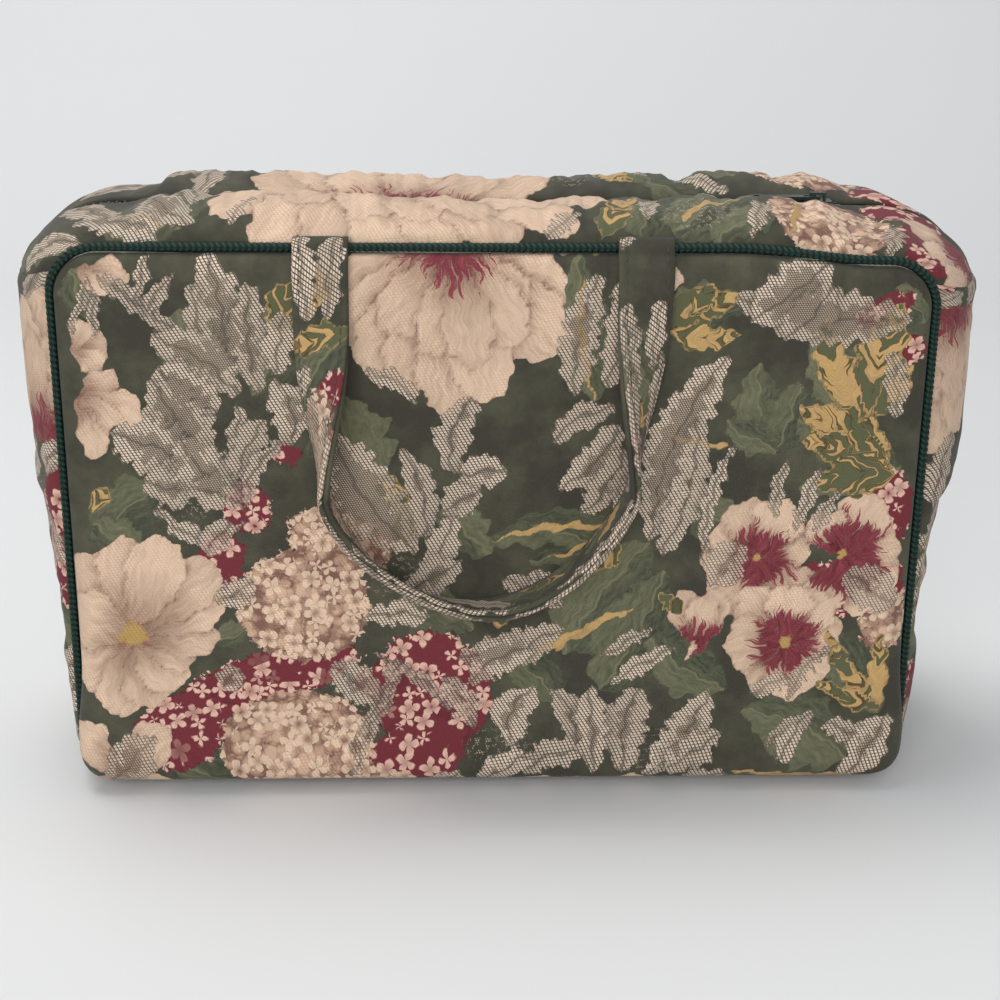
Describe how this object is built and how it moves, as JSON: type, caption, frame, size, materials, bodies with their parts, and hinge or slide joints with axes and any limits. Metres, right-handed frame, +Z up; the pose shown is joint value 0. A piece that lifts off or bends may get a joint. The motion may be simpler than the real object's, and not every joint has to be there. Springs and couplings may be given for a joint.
{
  "type": "toiletry bag",
  "caption": "Soft upright toiletry bag: two crowned panels edged with cord, a puffed gusset, a zip along the top and a hanging strap handle on each face.",
  "frame": {"origin": "middle of the flat base that the bag stands on", "axes": "+X along the bag, the zip opens towards -X, the front face looks towards -Y, +Z up"},
  "size_m": [0.3674, 0.1594, 0.2273],
  "materials": {
    "jacquard": "woven floral jacquard, matt ground with raised ivory ribs",
    "cord": "braided cord, dark blue-green, slight sheen",
    "zip_tape": "woven polyester tape, dark grey-green",
    "zip_teeth": "nylon coil, dark grey-green",
    "zip_metal": "enamelled die-cast zinc, dark green",
    "lining": "plain coated cotton, ivory",
    "binding": "folded bias tape, dark grey-green"
  },
  "bodies": {
    "bag": {"front_panel": "jacquard", "back_panel": "jacquard", "top_strip_front": "jacquard", "top_strip_back": "jacquard", "side_gusset": "jacquard", "cord_front": "cord", "cord_back": "cord", "handle_front": "jacquard", "handle_back": "jacquard", "zip_tape_front": "zip_tape", "zip_tape_back": "zip_tape", "zip_teeth_front": "zip_teeth", "zip_teeth_back": "zip_teeth", "top_stop_front": "zip_metal", "top_stop_back": "zip_metal", "bottom_stop": "zip_metal", "lining_front": "lining", "lining_back": "lining", "lining_strip_front": "lining", "lining_strip_back": "lining", "lining_gusset": "lining", "binding_front": "binding", "binding_back": "binding"},
    "slider": {"zip_slider": "zip_metal"},
    "pull": {"zip_pull": "zip_metal"}
  },
  "joints": [
    {"name": "zip_slide", "type": "slide", "parent": "bag", "child": "slider", "axis": [-1, 0, 0], "range_m": [0, 0.248], "deforming": ["zip_teeth_front", "zip_teeth_back"]},
    {"name": "pull_hinge", "type": "hinge", "parent": "slider", "child": "pull", "pos_m": [0.1244, 0, 0.22275], "axis": [0, 1, 0], "range_deg": [0, 165]}
  ]
}
